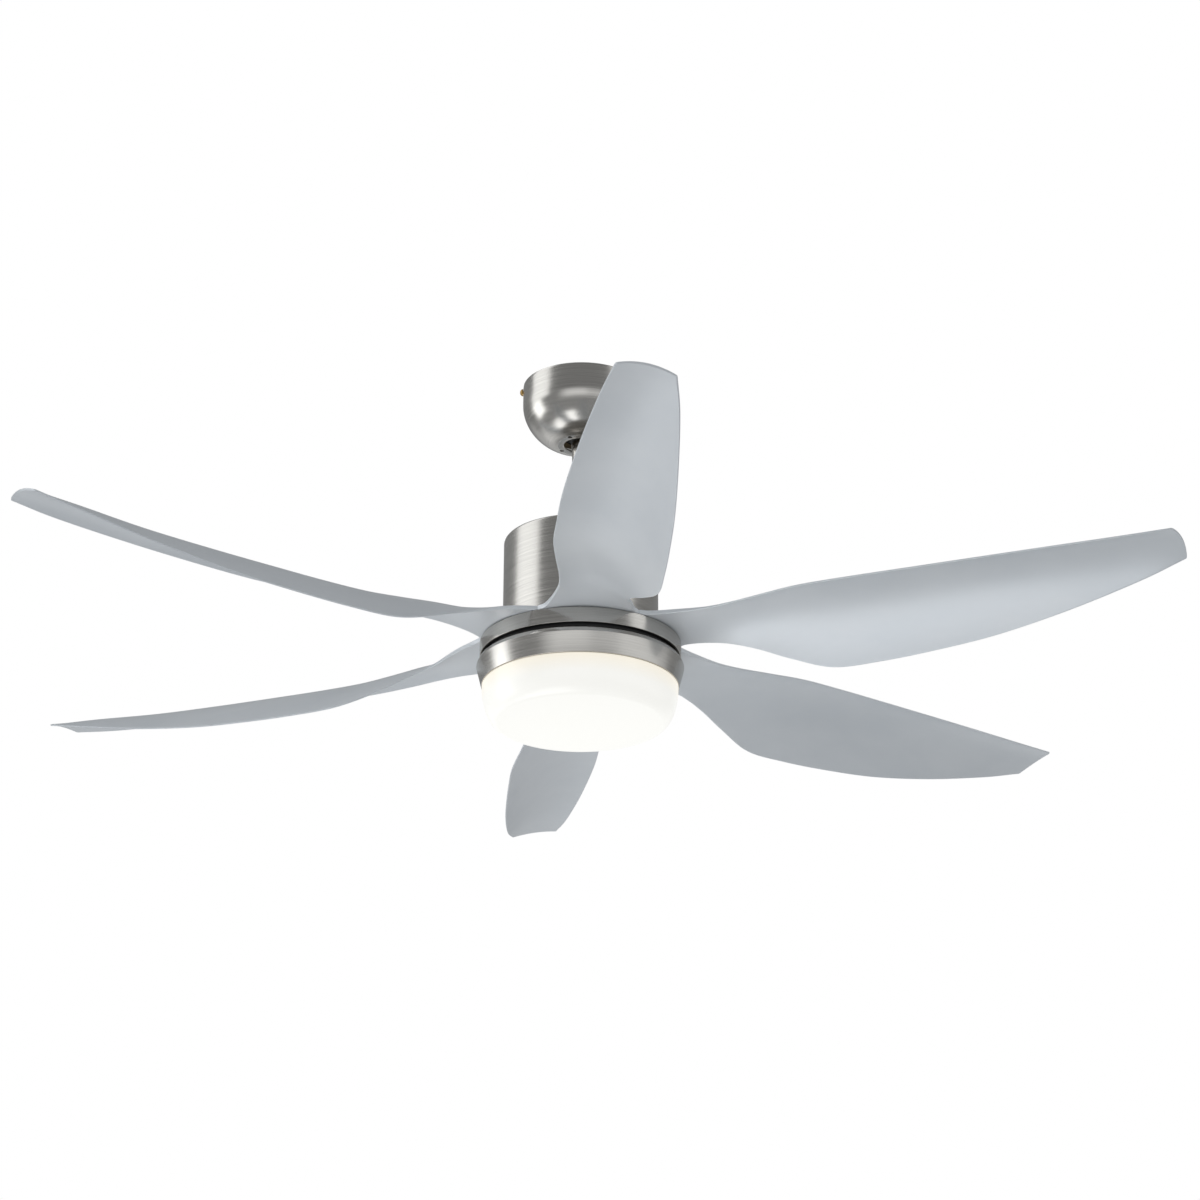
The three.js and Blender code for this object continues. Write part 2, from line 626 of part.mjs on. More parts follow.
/** One row of [lower, upper] point pairs across the blade, at u from root (0) to tip (1). */
function bladeRow(u) {
  const lead = leadingEdge.getPoint(u);
  const trail = trailingEdge.getPoint(u);
  const camber = camberCurve.getPoint(u).y;
  return BLADE_CHORD_STEPS.map((chord) => {
    const lower = lead.clone().lerp(trail, chord);
    const crest = 4 * chord * (1 - chord);
    lower.z += crest * camber;
    lower.x += crest * TIP_BOW * THREE.MathUtils.smoothstep(lead.x, TIP_BOW_START_X, BLADE_TIP_X);
    const slopeY = trail.y - lead.y;
    const slopeZ = trail.z - lead.z + 4 * (1 - 2 * chord) * camber;
    const upward = new THREE.Vector3(0, -slopeZ, slopeY).normalize();
    const upper = lower.clone().addScaledVector(upward, bladeThickness(lower.x, chord));
    return [lower, upper];
  });
}

/** The straight-sided inner end of the root plate: a sixth of the full circle. */
function rootRow() {
  const halfWidth = ROOT_INNER_X * Math.tan(Math.PI / BLADE_COUNT) - 0.35;
  return BLADE_CHORD_STEPS.map((chord) => {
    const lower = new THREE.Vector3(ROOT_INNER_X, halfWidth * (2 * chord - 1), 0);
    return [lower, lower.clone().setZ(ROOT_THICKNESS)];
  });
}

function bladeGeometry() {
  const rowCount = (BLADE_STATIONS.length - 1) * BLADE_ROWS_PER_SPAN;
  const rows = [rootRow()];
  for (let row = 0; row <= rowCount; row += 1) rows.push(bladeRow(row / rowCount));
  const tip = rows[rows.length - 1];
  const last = tip.length - 1;
  for (const corner of [tip[0], tip[last]]) for (const point of corner) point.x -= TIP_CORNER;

  const positions = [];
  for (const row of rows) for (const pair of row) for (const point of pair) positions.push(...point);
  const across = BLADE_CHORD_STEPS.length;
  const at = (row, chord, side) => (row * across + chord) * 2 + side;
  const index = [];
  const quad = (a, b, c, d) => index.push(a, b, c, a, c, d);
  for (let row = 0; row + 1 < rows.length; row += 1) {
    for (let chord = 0; chord + 1 < across; chord += 1) {
      quad(at(row, chord, 0), at(row, chord + 1, 0), at(row + 1, chord + 1, 0), at(row + 1, chord, 0));
      quad(at(row, chord, 1), at(row + 1, chord, 1), at(row + 1, chord + 1, 1), at(row, chord + 1, 1));
    }
    quad(at(row, 0, 0), at(row + 1, 0, 0), at(row + 1, 0, 1), at(row, 0, 1));
    quad(at(row, last, 0), at(row, last, 1), at(row + 1, last, 1), at(row + 1, last, 0));
  }
  const end = rows.length - 1;
  for (let chord = 0; chord + 1 < across; chord += 1) {
    quad(at(0, chord, 0), at(0, chord, 1), at(0, chord + 1, 1), at(0, chord + 1, 0));
    quad(at(end, chord, 0), at(end, chord + 1, 0), at(end, chord + 1, 1), at(end, chord, 1));
  }
  const geometry = new THREE.BufferGeometry();
  geometry.setAttribute('position', new THREE.Float32BufferAttribute(positions, 3));
  geometry.setIndex(index);
  return geometry;
}

function blade() {
  let body = solid(bladeGeometry());
  for (const radius of BLADE_SCREW_RADII) body = body.subtract(rod(2.8, -3, 12, radius, 0));
  return body;
}

const SCREW_HEAD = 2.7;
const TRIM_WEB = 2.3;
const TRIM_TOP = ROOT_BOTTOM - FIT_GAP;
const SCREW_TIP = BASE_TOP - 0.5;
const bladeBody = blade();

for (let place = 0; place < BLADE_COUNT; place += 1) {
  const holder = new THREE.Group();
  holder.rotation.z = THREE.MathUtils.degToRad(BLADE_START_ANGLE + (place * 360) / BLADE_COUNT);
  fan.add(holder);
  add(`blade_${place + 1}`, bladeBody, finishes.blade, holder).position.z = ROOT_BOTTOM;
  const innerHeadZ = ROOT_BOTTOM - FIT_GAP;
  const outerHeadZ = TRIM_TOP - TRIM_WEB - FIT_GAP;
  const [innerRadius, outerRadius] = BLADE_SCREW_RADII;
  const innerScrew = screw(2.4, 4.5, SCREW_HEAD, innerHeadZ, SCREW_TIP);
  const outerScrew = screw(2.4, 4.5, SCREW_HEAD, outerHeadZ, SCREW_TIP);
  add(`blade_screw_inner_${place + 1}`, innerScrew, finishes.steel, holder).position.x = innerRadius;
  add(`blade_screw_outer_${place + 1}`, outerScrew, finishes.steel, holder).position.x = outerRadius;
}

/** The nickel ring under the blade roots: it turns with them. */
function trimRing() {
  const bevel = 0.8;
  const innerWall = TRIM_RADIUS - 3.3;
  let ring = turned([
    [84, TRIM_TOP],
    [TRIM_RADIUS - bevel, TRIM_TOP],
    [TRIM_RADIUS, TRIM_TOP - bevel],
    [TRIM_RADIUS, TRIM_BOTTOM + 0.5],
    [TRIM_RADIUS - 0.5, TRIM_BOTTOM],
    [innerWall, TRIM_BOTTOM],
    [innerWall, TRIM_TOP - TRIM_WEB],
    [84, TRIM_TOP - TRIM_WEB],
  ], ROUND_SEGMENTS);
  for (let place = 0; place < BLADE_COUNT; place += 1) {
    const [x, y] = onCircle(BLADE_SCREW_RADII[1], place, BLADE_COUNT, BLADE_START_ANGLE);
    ring = ring.subtract(rod(2.8, TRIM_TOP - 5, TRIM_TOP + 1, x, y));
  }
  return ring;
}
add('trim_ring', trimRing(), finishes.nickel);

// ---------------------------------------------------------------- fixed light kit
const LIGHT_BRACKET_BOTTOM = -414;
const PAN_FLOOR_TOP = LIGHT_BRACKET_BOTTOM - FIT_GAP;
const PAN_FLOOR_BOTTOM = PAN_FLOOR_TOP - SHEET;
const PAN_SCREW_RADIUS = 55;
const PAN_SKIRT_BOTTOM = -454.4;
const LUG_TOP = -445.5;
const LUG_BOTTOM = -448;
const LUG_REACH = 134.4;
const TAB_TOP = LUG_BOTTOM - FIT_GAP;
const TAB_BOTTOM = TAB_TOP - 2;
const COLLAR_RADIUS = 130.5;
const NECK_RADIUS = 126.7;

function lightBracket() {
  let disc = tube(SHAFT_RADIUS + FIT_GAP, 70, LIGHT_BRACKET_BOTTOM, LIGHT_BRACKET_BOTTOM + 2.5, 32);
  for (let place = 0; place < 3; place += 1) {
    const [x, y] = onCircle(PAN_SCREW_RADIUS, place, 3, 30);
    disc = disc.subtract(rod(2.4, LIGHT_BRACKET_BOTTOM - 1, LIGHT_BRACKET_BOTTOM + 4, x, y));
  }
  return disc;
}
add('light_bracket', lightBracket(), finishes.zinc);

const NUT_CORNER_RADIUS = 17.3;
const nutBottom = LIGHT_BRACKET_BOTTOM - 9;
const shaftNut = rod(NUT_CORNER_RADIUS, nutBottom, PAN_FLOOR_TOP, 0, 0, 6)
  .subtract(rod(SHAFT_RADIUS + FIT_GAP, nutBottom - 1, PAN_FLOOR_TOP + 1, 0, 0, SMALL_SEGMENTS));
add('shaft_nut', shaftNut, finishes.steel);

/** A block that spans an arc of a ring: a bayonet lug or tab, centred on an angle. */
function arcBlock(inner, outer, low, high, centreDegrees, spanDegrees) {
  const start = THREE.MathUtils.degToRad(centreDegrees - spanDegrees / 2);
  const end = THREE.MathUtils.degToRad(centreDegrees + spanDegrees / 2);
  const shape = new THREE.Shape();
  shape.absarc(0, 0, outer, start, end, false);
  shape.absarc(0, 0, inner, end, start, true);
  return slab(shape, low, high, 4);
}

/** The flat steel floor of the pan: it lies in the ring's ledge and is screwed up to the bracket. */
function panFloor() {
  let floor = tube(20, 119.8, PAN_FLOOR_BOTTOM, PAN_FLOOR_TOP, ROUND_SEGMENTS);
  for (let place = 0; place < 3; place += 1) {
    const [x, y] = onCircle(PAN_SCREW_RADIUS, place, 3, 30);
    floor = floor.subtract(rod(2.6, PAN_FLOOR_BOTTOM - 2, PAN_FLOOR_TOP + 1, x, y));
  }
  return floor;
}
add('pan_floor', panFloor(), finishes.zinc);

/** The nickel ring under the running gap: its skirt flares to a sharp edge, then draws in. */
function lightPan() {
  const lip = PAN_LIP_Z;
  const ledge = PAN_FLOOR_BOTTOM - FIT_GAP;
  let pan = turned([
    [117.6, ledge],
    [120.1, ledge],
    [120.1, PAN_FLOOR_TOP],
    [121.5, PAN_FLOOR_TOP],
    [123.5, lip],
    [136.6, lip],
    [138.6, lip - 1.6],
    [140.6, lip - 5],
    [PAN_RADIUS, lip - 8.1],
    [PAN_RADIUS - 0.2, lip - 9.1],
    [134.9, PAN_SKIRT_BOTTOM],
    [133.3, PAN_SKIRT_BOTTOM],
    [140, lip - 9.4],
    [138.6, lip - 5.6],
    [135.8, lip - SHEET],
    [122.4, lip - SHEET],
    [120.4, ledge - SHEET],
    [117.6, ledge - SHEET],
  ], ROUND_SEGMENTS);
  for (let place = 0; place < 3; place += 1) {
    pan = pan.add(arcBlock(131.4, 135, TAB_BOTTOM, TAB_TOP, 60 + place * 120, 14));
  }
  return pan;
}
add('light_pan', lightPan(), finishes.nickel);
add('gap_shroud', tube(127, 131.5, PAN_LIP_Z + FIT_GAP, -396.5, MIDDLE_SEGMENTS), finishes.blackPlastic);

for (let place = 0; place < 3; place += 1) {
  const [x, y] = onCircle(PAN_SCREW_RADIUS, place, 3, 30);
  const body = screw(2.1, 4, 2.6, PAN_FLOOR_BOTTOM - FIT_GAP, LIGHT_BRACKET_BOTTOM + 5);
  add(`pan_screw_${place + 1}`, body, finishes.steel).position.set(x, y, 0);
}

add('led_driver', slab(roundedRectangle(100, 42, 4, 0, 86), -439, PAN_FLOOR_BOTTOM - FIT_GAP, 3),
  finishes.whitePlastic);

/** The round plate that carries the light-emitting diodes, on three feet under the pan's floor. */
function ledPlate() {
  const top = -443.5;
  const bottom = -445;
  let plate = rod(116, bottom, top, 0, 0, ROUND_SEGMENTS);
  for (let place = 0; place < 3; place += 1) {
    const [x, y] = onCircle(104, place, 3, 30);
    plate = plate.add(rod(4, bottom + 0.5, PAN_FLOOR_BOTTOM - FIT_GAP, x, y));
  }
  return plate;
}
add('led_plate', ledPlate(), finishes.aluminium);

/** The bayonet collar that is cemented round the shade's neck. */
function shadeCollar() {
  let collar = tube(NECK_RADIUS + FIT_GAP, COLLAR_RADIUS, SHADE_TOP + 1, -442, ROUND_SEGMENTS);
  for (let place = 0; place < 3; place += 1) {
    collar = collar.add(arcBlock(COLLAR_RADIUS - 1.5, LUG_REACH, LUG_BOTTOM, LUG_TOP, 60 + place * 120, 12));
  }
  return collar;
}
add('shade_collar', shadeCollar(), finishes.whitePlastic);

/** The opal shade: a neck, a short shoulder, and a deep drum with a softly rounded lower edge. */
function glassShade() {
  const wall = 3;
  const cornerWidth = 22.5;
  const crown = 2.2;
  const centre = SHADE_RADIUS - cornerWidth;
  const depth = SHADE_TOP - SHADE_BOTTOM - crown;
  const outer = quarterSteps(6).map((angle) => [
    centre + cornerWidth * Math.cos(angle),
    SHADE_TOP - depth * Math.sin(angle),
  ]);
  const inner = quarterSteps(4).map((angle) => [
    centre + (cornerWidth - wall) * Math.cos(angle),
    SHADE_TOP - wall - (depth - 2 * wall) * Math.sin(angle),
  ]).reverse();
  return turned([
    [NECK_RADIUS, -442],
    [NECK_RADIUS, SHADE_TOP],
    ...outer,
    [55, SHADE_BOTTOM + 0.6],
    [0, SHADE_BOTTOM],
    [0, SHADE_BOTTOM + wall],
    [55, SHADE_BOTTOM + wall + 0.6],
    ...inner,
    [NECK_RADIUS - wall, SHADE_TOP - wall],
    [NECK_RADIUS - wall, -442],
  ], ROUND_SEGMENTS);
}
add('glass_shade', glassShade(), finishes.opalGlass);

// ---------------------------------------------------------------- leads inside the rod and shaft
/** The bundle of leads from the receiver, down the rod and the hollow shaft, to the light kit. */
function leadBundle() {
  const route = new THREE.CatmullRomCurve3([
    new THREE.Vector3(0, 7, -29),
    new THREE.Vector3(0, 7, -60),
    new THREE.Vector3(2, 6, -140),
    new THREE.Vector3(0, 7, -218),
    new THREE.Vector3(0, 7, -230),
    new THREE.Vector3(0, 3, -240),
    new THREE.Vector3(0, 0, -252),
    new THREE.Vector3(0, 0, -330),
    new THREE.Vector3(0, 0, -436),
  ]);
  const section = new THREE.Shape();
  section.absarc(0, 0, 2.6, 0, 2 * Math.PI);
  const settings = { steps: 40, bevelEnabled: false, extrudePath: route, curveSegments: 4 };
  return solid(new THREE.ExtrudeGeometry(section, settings));
}
add('lead_bundle', leadBundle(), finishes.wire);

export default fan;
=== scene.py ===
"""The ceiling fan's looks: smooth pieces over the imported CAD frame, procedural materials, studio and camera.

Lengths in millimetres become metres with MM. +Z is up, and the ceiling is at z = 0.
"""
import bpy
import bmesh
import json
import math
import numpy as np
from mathutils import Matrix, Vector


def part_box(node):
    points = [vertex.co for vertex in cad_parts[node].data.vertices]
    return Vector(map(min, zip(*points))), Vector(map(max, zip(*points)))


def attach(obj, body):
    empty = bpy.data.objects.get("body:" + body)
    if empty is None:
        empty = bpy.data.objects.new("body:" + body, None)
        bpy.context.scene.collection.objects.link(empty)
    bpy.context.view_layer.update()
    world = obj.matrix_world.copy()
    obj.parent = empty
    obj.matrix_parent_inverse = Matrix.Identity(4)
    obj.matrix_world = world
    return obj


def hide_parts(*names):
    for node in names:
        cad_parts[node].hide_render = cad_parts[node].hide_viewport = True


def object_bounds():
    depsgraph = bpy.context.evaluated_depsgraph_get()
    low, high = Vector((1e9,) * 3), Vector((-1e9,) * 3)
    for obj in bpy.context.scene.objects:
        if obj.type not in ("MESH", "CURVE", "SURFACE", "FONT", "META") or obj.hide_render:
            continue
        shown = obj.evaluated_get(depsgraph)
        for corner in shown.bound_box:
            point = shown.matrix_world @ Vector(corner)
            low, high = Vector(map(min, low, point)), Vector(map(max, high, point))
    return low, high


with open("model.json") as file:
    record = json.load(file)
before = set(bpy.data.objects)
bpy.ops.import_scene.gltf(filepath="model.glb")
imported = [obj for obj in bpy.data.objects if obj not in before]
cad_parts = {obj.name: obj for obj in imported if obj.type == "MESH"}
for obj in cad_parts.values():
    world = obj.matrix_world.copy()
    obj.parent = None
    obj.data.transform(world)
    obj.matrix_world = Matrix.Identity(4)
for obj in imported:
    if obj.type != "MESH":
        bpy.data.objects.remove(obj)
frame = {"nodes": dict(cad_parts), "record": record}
nodes = frame["nodes"]
cad_low, cad_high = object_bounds()
scene = bpy.context.scene
MM = 0.001
BLADE_COUNT = 6
BLADE_ANGLE = -25.1                # degrees from +X to the first blade
BLADE_ANGLES = [BLADE_ANGLE + 360 / BLADE_COUNT * k for k in range(BLADE_COUNT)]

# ------------------------------------------------------------------ camera
YAW, PITCH, ROLL = (math.radians(a) for a in (0.376, 22.464, 0.230))
forward = Vector((math.sin(YAW) * math.cos(PITCH), math.cos(YAW) * math.cos(PITCH), math.sin(PITCH)))
level_right = Vector((math.cos(YAW), -math.sin(YAW), 0))
level_up = level_right.cross(forward)
right = math.cos(ROLL) * level_right + math.sin(ROLL) * level_up
up = -math.sin(ROLL) * level_right + math.cos(ROLL) * level_up
camera_data = bpy.data.cameras.new("camera")
camera_data.lens = 95.53
camera_data.sensor_width = 36
camera_data.clip_end = 200
camera = bpy.data.objects.new("camera", camera_data)
scene.collection.objects.link(camera)
facing = Matrix((right, up, -forward)).transposed().to_4x4()
camera.matrix_world = Matrix.Translation((0, -4.0507, -2.0003)) @ facing
scene.camera = camera
scene.view_settings.view_transform = "Standard"


# ------------------------------------------------------------------ material helpers
class Finish:
    """A Principled material with short calls for its procedural nodes."""

    def __init__(self, name, **sockets):
        self.material = bpy.data.materials.new(name)
        self.material.use_nodes = True
        self.tree = self.material.node_tree
        self.shader = self.tree.nodes["Principled BSDF"]
        for socket, value in sockets.items():
            self.shader.inputs[socket.replace("_", " ")].default_value = value
        self.place = self.node("ShaderNodeTexCoord").outputs["Object"]

    def node(self, kind, inputs=None, **settings):
        made = self.tree.nodes.new(kind)
        for key, value in settings.items():
            setattr(made, key, value)
        for key, value in (inputs or {}).items():
            if isinstance(value, bpy.types.NodeSocket):
                self.tree.links.new(value, made.inputs[key])
            else:
                made.inputs[key].default_value = value
        return made

    def math(self, operation, a, b=0.0):
        return self.node("ShaderNodeMath", {0: a, 1: b}, operation=operation).outputs[0]

    def scaled(self, scale, vector=None):
        inputs = {"Vector": vector or self.place, "Scale": scale}
        return self.node("ShaderNodeMapping", inputs).outputs[0]

    def noise(self, vector, scale, detail=3.0, roughness=0.55):
        inputs = {"Vector": vector, "Scale": scale, "Detail": detail, "Roughness": roughness}
        return self.node("ShaderNodeTexNoise", inputs).outputs["Fac"]

    def range(self, value, low, high, source=(0.3, 0.7)):
        inputs = {"Value": value, "From Min": source[0], "From Max": source[1], "To Min": low, "To Max": high}
        return self.node("ShaderNodeMapRange", inputs).outputs["Result"]

    def blend(self, factor, first, second):
        made = self.node("ShaderNodeMix", data_type="RGBA")
        for key, value in ((0, factor), (6, first), (7, second)):
            if isinstance(value, bpy.types.NodeSocket):
                self.tree.links.new(value, made.inputs[key])
            else:
                made.inputs[key].default_value = value
        return made.outputs[2]

    def set(self, socket, value):
        self.tree.links.new(value, self.shader.inputs[socket])

    def bump(self, height, strength, distance):
        inputs = {"Height": height, "Strength": strength, "Distance": distance}
        self.set("Normal", self.node("ShaderNodeBump", inputs).outputs["Normal"])

    def lathe_lines(self, density):
        """Noise drawn out round the Z axis, as fine as the density across it."""
        parts = self.node("ShaderNodeSeparateXYZ", {0: self.place}).outputs
        x2 = self.math("MULTIPLY", parts[0], parts[0])
        y2 = self.math("MULTIPLY", parts[1], parts[1])
        radius = self.math("SQRT", self.math("ADD", x2, y2))
        across = self.math("ADD", self.math("MULTIPLY", radius, 1.7), parts[2])
        across = self.math("MULTIPLY", across, density)
        inputs = {0: self.math("MULTIPLY", parts[0], 9.0), 1: self.math("MULTIPLY", parts[1], 9.0), 2: across}
        return self.node("ShaderNodeCombineXYZ", inputs).outputs[0]


def rgb(*values):
    """A colour from its 0-255 display values, as the linear colour a shader takes."""
    return tuple(((v / 255 + 0.055) / 1.055) ** 2.4 if v > 10 else v / 255 / 12.92 for v in values) + (1.0,)


def nickel(name, base, roughness):
    made = Finish(name, Metallic=1.0, Anisotropic=0.55)
    lines = made.noise(made.lathe_lines(900.0), 1.0, 4.0)
    cloud = made.noise(made.place, 14.0, 3.0)
    darker = tuple(c * 0.8 for c in base[:3]) + (1.0,)
    made.set("Base Color", made.blend(made.range(lines, 0.0, 1.0), darker, base))
    made.set("Roughness", made.math("ADD", made.range(lines, roughness - 0.04, roughness + 0.05),
                                    made.range(cloud, -0.015, 0.02)))
    tangent = made.node("ShaderNodeTangent", direction_type="RADIAL", axis="Z")
    made.set("Tangent", tangent.outputs[0])
    made.bump(lines, 0.12, 0.00004)
    return made.material


def grained(name, color, roughness, grain=900.0, depth=0.00008, spread=0.12, **sockets):
    """Moulded plastic, rubber, cast or sintered stock: a fine grain with slow colour drift."""
    made = Finish(name, **sockets)
    grit = made.noise(made.place, grain, 3.0)
    cloud = made.noise(made.place, 35.0, 3.0)
    darker = tuple(c * (1 - spread) for c in color[:3]) + (1.0,)
    made.set("Base Color", made.blend(made.range(cloud, 0.0, 1.0), darker, color))
    made.set("Roughness", made.range(grit, roughness - 0.06, roughness + 0.08))
    made.bump(grit, 0.35, depth)
    return made.material


def machined(name, color, roughness, density=1500.0, tint=None):
    """Turned or plated metal: fine tool marks round Z and a faint second tint in patches."""
    made = Finish(name, Metallic=1.0)
    lines = made.noise(made.lathe_lines(density), 1.0, 3.0)
    patches = made.noise(made.place, 55.0, 4.0)
    second = tint or tuple(c * 0.82 for c in color[:3]) + (1.0,)
    made.set("Base Color", made.blend(made.range(patches, 0.0, 1.0), color, second))
    made.set("Roughness", made.math("ADD", made.range(lines, roughness - 0.05, roughness + 0.06),
                                    made.range(patches, -0.03, 0.04)))
    made.bump(lines, 0.2, 0.00005)
    return made.material


def blade_finish():
    """Satin silver paint on a moulded blade: orange peel, faint flow drift and a fine sparkle."""
    made = Finish("blade_satin", Metallic=0.12, Coat_Weight=0.12, Coat_Roughness=0.25)
    peel = made.noise(made.place, 420.0, 2.0)
    sparkle = made.noise(made.place, 2600.0, 2.0)
    drift = made.noise(made.scaled((3.0, 3.0, 9.0)), 2.0, 4.0)
    light, dark = rgb(234, 238, 242), rgb(225, 230, 235)
    made.set("Base Color", made.blend(made.range(drift, 0.0, 1.0), dark, light))
    made.set("Roughness", made.math("ADD", made.range(drift, 0.36, 0.42), made.range(sparkle, -0.03, 0.03)))
    made.bump(made.math("ADD", peel, made.math("MULTIPLY", sparkle, 0.25)), 0.1, 0.00012)
    return made.material


def opal():
    """Opal glass lit from inside: warm where the wall leaves the collar, near white over the drum."""
    made = Finish("opal_lit", Roughness=0.28, IOR=1.5)
    low, high = (v.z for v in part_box("glass_shade"))
    height = made.node("ShaderNodeSeparateXYZ", {0: made.place}).outputs[2]
    rise = made.range(height, 0.0, 1.0, (low + 0.030, low + 0.054))
    cloud = made.range(made.noise(made.place, 18.0, 3.0), -0.02, 0.02)
    share = made.math("ADD", rise, cloud)
    made.set("Base Color", made.blend(share, (0.36, 0.36, 0.35, 1), (0.36, 0.34, 0.30, 1)))
    made.set("Emission Color", made.blend(share, rgb(250, 249, 244), rgb(255, 247, 230)))
    made.shader.inputs["Emission Strength"].default_value = 0.74
    made.bump(made.noise(made.place, 300.0, 2.0), 0.04, 0.0001)
    return made.material


def board_green():
    """Printed board: solder-mask green with raised copper tracks under it."""
    made = Finish("board_green", Roughness=0.35, Coat_Weight=0.4, Coat_Roughness=0.15)
    inputs = {"Vector": made.scaled((90.0, 90.0, 90.0)), "Scale": 1.0, "Mortar Size": 0.06}
    tracks = made.node("ShaderNodeTexBrick", inputs).outputs["Fac"]
    grain = made.noise(made.place, 700.0)
    made.set("Base Color", made.blend(tracks, rgb(36, 96, 62), rgb(58, 130, 84)))
    made.set("Roughness", made.range(grain, 0.3, 0.45))
    made.bump(tracks, 0.3, 0.0001)
    return made.material


def wound(name, color):
    """Enamelled wire wound in close turns."""
    made = Finish(name, Metallic=0.85, Coat_Weight=0.5)
    inputs = {"Vector": made.lathe_lines(700.0), "Scale": 1.0, "Distortion": 0.6}
    turns = made.node("ShaderNodeTexWave", inputs, bands_direction="Z").outputs["Fac"]
    made.set("Base Color", made.blend(turns, tuple(c * 0.45 for c in color[:3]) + (1.0,), color))
    made.set("Roughness", made.range(turns, 0.45, 0.28, (0.0, 1.0)))
    made.bump(turns, 0.6, 0.0003)
    return made.material


def stacked(name, color):
    """Laminations stacked along Z."""
    made = Finish(name, Metallic=0.9)
    inputs = {"Vector": made.place, "Scale": 320.0, "Distortion": 0.1}
    layers = made.node("ShaderNodeTexWave", inputs, bands_direction="Z").outputs["Fac"]
    made.set("Base Color", made.blend(layers, tuple(c * 0.5 for c in color[:3]) + (1.0,), color))
    made.set("Roughness", made.range(made.noise(made.place, 400.0), 0.4, 0.6))
    made.bump(layers, 0.5, 0.0002)
    return made.material


finish = {
    "nickel": nickel("nickel_brushed", rgb(196, 193, 188), 0.21),
    "blade_plastic": blade_finish(),
    "opal_glass": opal(),
    # painted shade: the bracket's yellow zinc is made much darker than plating, partly its own brown-yellow
    # tone and partly standing in for the shade it sits in under the canopy
    "bracket_zinc": machined("zinc_yellow_darkened_as_shade", rgb(140, 122, 82), 0.38, 1100.0, rgb(112, 98, 78)),
    "brass_screw": machined("screw_brass", rgb(178, 146, 92), 0.26),
    "steel": machined("steel_bright", rgb(172, 174, 177), 0.27),
    "rotor_aluminium": machined("aluminium_cast", rgb(206, 208, 210), 0.4, 700.0),
    "cast_coupling": grained("cast_metal", rgb(142, 144, 147), 0.5, 520.0, 0.0003, Metallic=0.9),
    "ferrite": grained("ferrite", rgb(62, 62, 66), 0.66, 700.0, 0.0002),
    "black_plastic": grained("plastic_black", rgb(24, 24, 25), 0.46),
    "rubber": grained("rubber_black", rgb(28, 28, 28), 0.72, 500.0, 0.00015),
    "white_plastic": grained("plastic_white", rgb(232, 232, 228), 0.42, 900.0, 0.00006, 0.03),
    "lead_sleeve": wound("lead_sleeve", rgb(48, 50, 54)),
    "circuit_board": board_green(),
    "laminations": stacked("laminations", rgb(118, 120, 124)),
    "copper_winding": wound("copper_winding", rgb(196, 120, 74)),
}
slot_of = {part["node"]: part["material_slot"] for part in frame["record"]["subparts"]}
for name, item in nodes.items():
    item.data.materials.clear()
    item.data.materials.append(finish[slot_of[name]])

body_of = {n: body for body, members in frame["record"]["behaviour"]["bodies"].items() for n in members}


# ------------------------------------------------------------------ mesh helpers
def piece(name, vertices, faces, node, sharp=32.0, stands_for=True, slot=None):
    """A new smooth-shaded mesh that rides with a CAD node's body and, as a rule, is shown in its place."""
    mesh = bpy.data.meshes.new(name)
    mesh.from_pydata([tuple(v) for v in vertices], [], faces)
    mesh.validate()
    bm = bmesh.new()
    bm.from_mesh(mesh)
    bmesh.ops.remove_doubles(bm, verts=bm.verts, dist=1e-6)
    bmesh.ops.recalc_face_normals(bm, faces=bm.faces)
    bm.to_mesh(mesh)
    bm.free()
    mesh.shade_smooth()
    mesh.set_sharp_from_angle(angle=math.radians(sharp))
    made = bpy.data.objects.new(name, mesh)
    scene.collection.objects.link(made)
    mesh.materials.append(finish[slot or slot_of[node]])
    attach(made, body_of[node])
    if stands_for:
        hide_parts(node)
    return made


def rounded(outline, radius, steps=5, closed=True):
    """Rounds the corners of an outline. A point is (r, z) or (r, z, its own corner radius)."""
    count = len(outline)
    result = []
    for i, point in enumerate(outline):
        own = point[2] if len(point) > 2 else radius
        here = np.array(point[:2], float)
        if own <= 0 or (not closed and i in (0, count - 1)):
            result.append(tuple(here))
            continue
        before = np.array(outline[i - 1][:2], float) - here
        after = np.array(outline[(i + 1) % count][:2], float) - here
        a, b = np.linalg.norm(before), np.linalg.norm(after)
        before, after = before / a, after / b
        turn = math.acos(max(-1, min(1, float(before @ after))))
        if turn > math.radians(176):
            result.append(tuple(here))
            continue
        reach = min(own / math.tan(turn / 2), a * 0.45, b * 0.45)
        start, end = here + before * reach, here + after * reach
        for k in range(steps + 1):
            t = k / steps
            result.append(tuple((1 - t) ** 2 * start + 2 * t * (1 - t) * here + t * t * end))
    return result


def revolved(name, outline, node, segments=192, sharp=32.0, stands_for=True, slot=None):
    """Turns a closed (r, z) outline in millimetres round the Z axis."""
    points = np.array(outline, float) * MM
    angles = np.linspace(0, 2 * math.pi, segments, endpoint=False)
    ring = np.stack([np.cos(angles), np.sin(angles)], 1)
    count = len(points)
    vertices = [(r * c, r * s, z) for c, s in ring for r, z in points]
    faces = []
    for i in range(segments):
        j = (i + 1) % segments
        for k in range(count):
            m = (k + 1) % count
            if points[k][0] < 1e-7 and points[m][0] < 1e-7:
                continue
            quad = [i * count + k, j * count + k, j * count + m, i * count + m]
            if points[k][0] < 1e-7:
                quad = [i * count + k, j * count + m, i * count + m]
            elif points[m][0] < 1e-7:
                quad = [i * count + k, j * count + k, i * count + m]
            faces.append(quad)
    return piece(name, vertices, faces, node, sharp, stands_for, slot)


def pointing(direction, place):
    """Turns +Z to a direction and moves the origin to a place in millimetres."""
    turn = Vector(direction).to_track_quat("Z", "Y").to_matrix().to_4x4()
    return Matrix.Translation(Vector(place) * MM) @ turn


